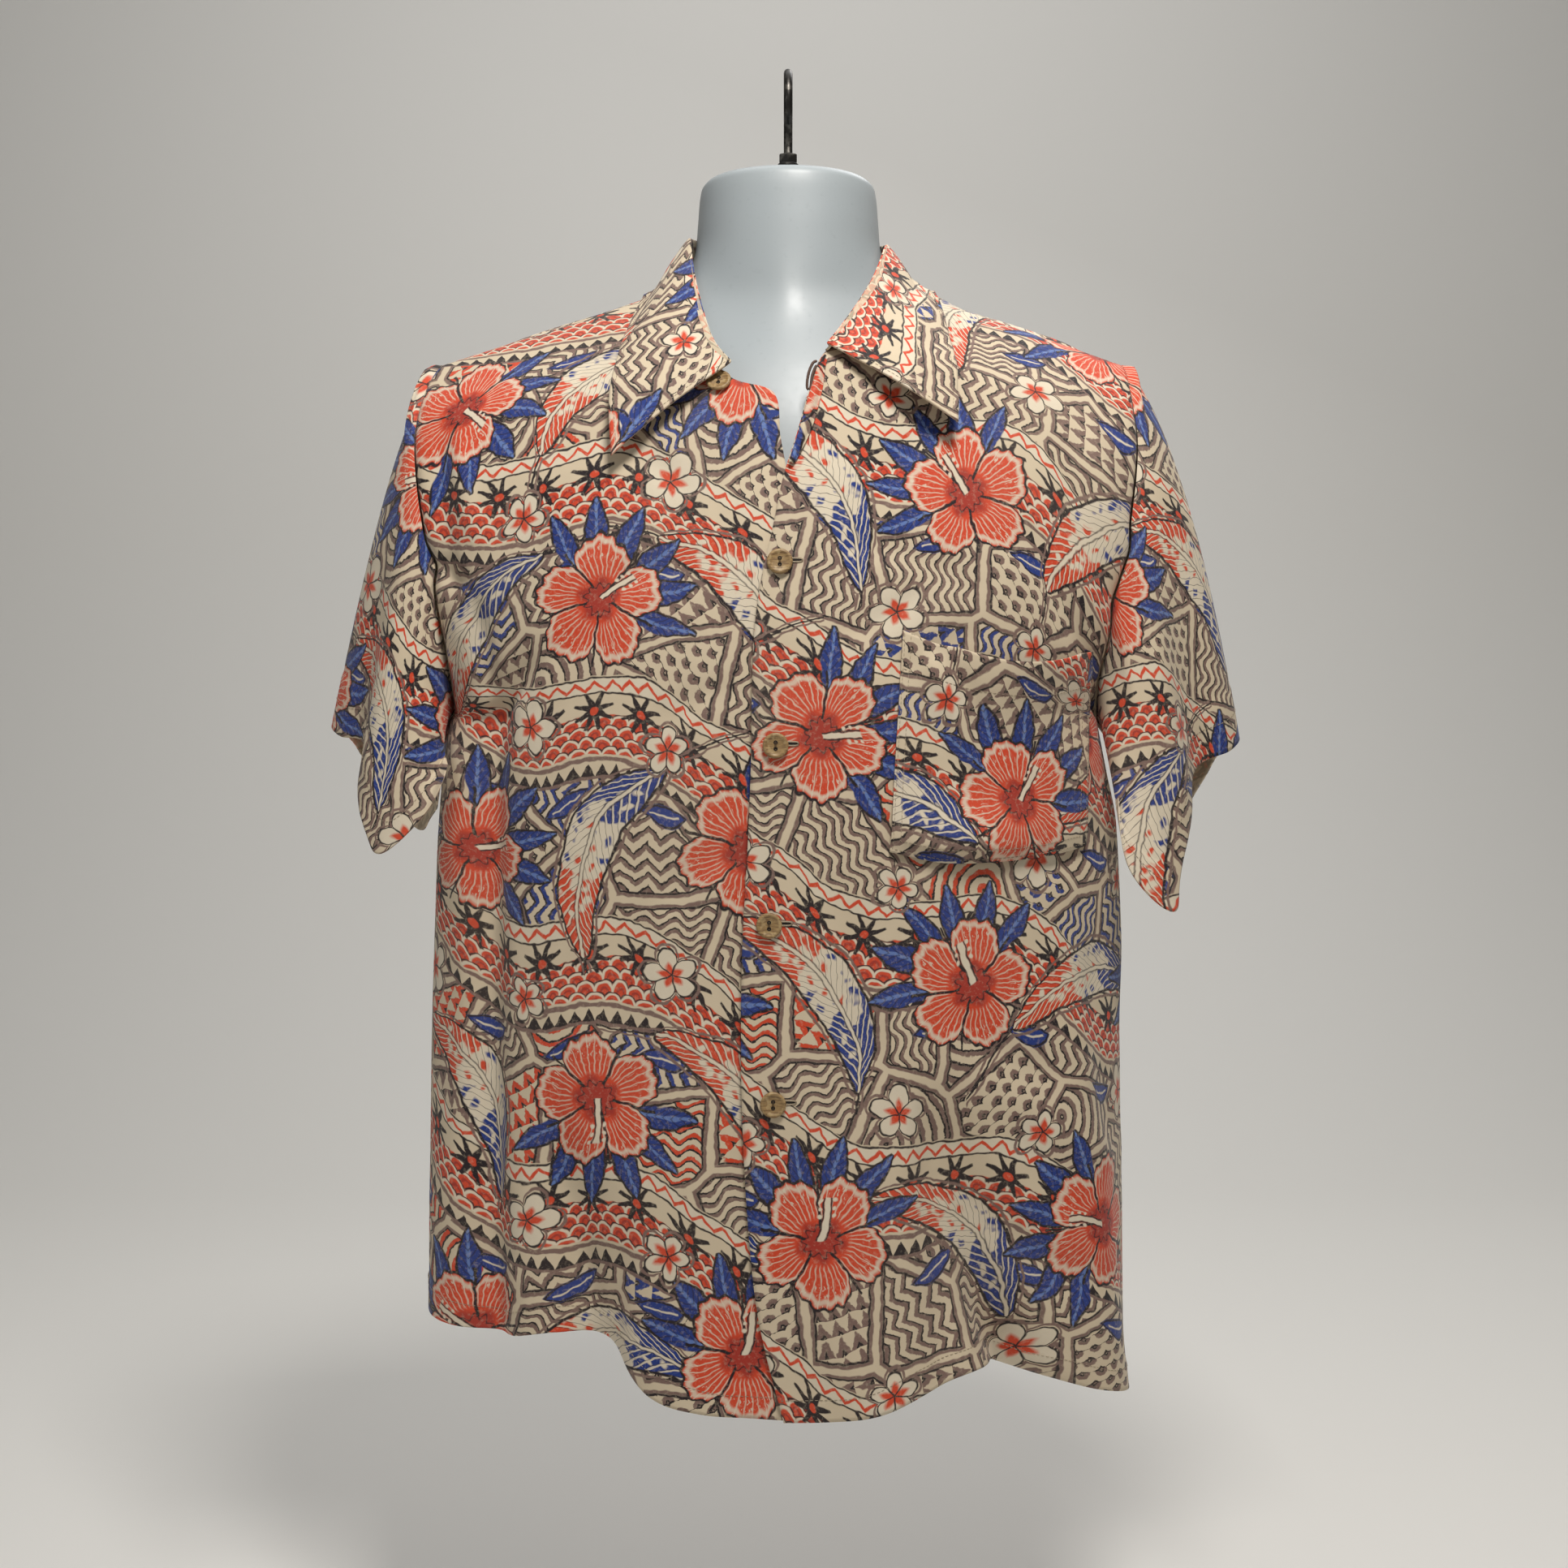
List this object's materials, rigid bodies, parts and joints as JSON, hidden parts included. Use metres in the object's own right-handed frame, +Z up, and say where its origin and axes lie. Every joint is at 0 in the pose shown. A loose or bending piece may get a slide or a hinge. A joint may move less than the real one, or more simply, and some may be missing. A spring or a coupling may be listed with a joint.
{
  "type": "short-sleeved hawaiian shirt on a hanging dress form",
  "caption": "Loose short-sleeved shirt with an open notched collar, chest pocket and straight hem, worn by a smooth white torso form that hangs by a hook",
  "frame": {"origin": "the point at the inner top of the hook, where it bears on its rail", "axes": "+Z up, the shirt's front faces -Y, +X is the wearer's left"},
  "size_m": [0.6168, 0.2556, 0.8879],
  "materials": {
    "printed_cloth": "soft woven rayon with an all-over print of coral, blue and taupe on cream",
    "form_plastic": "smooth white moulding with a satin gloss",
    "button_shell": "polished coconut shell",
    "hook_metal": "dark oiled steel"
  },
  "bodies": {
    "root": {"torso_form": "form_plastic", "hook": "hook_metal", "nut": "hook_metal", "front_left": "printed_cloth", "front_right": "printed_cloth", "back_left": "printed_cloth", "back_right": "printed_cloth", "sleeve_left": "printed_cloth", "sleeve_right": "printed_cloth", "collar": "printed_cloth", "pocket": "printed_cloth", "facing_left": "printed_cloth", "collar_loop": "printed_cloth", "button_1": "button_shell", "button_2": "button_shell", "button_3": "button_shell", "button_4": "button_shell", "button_5": "button_shell"}
  },
  "joints": []
}
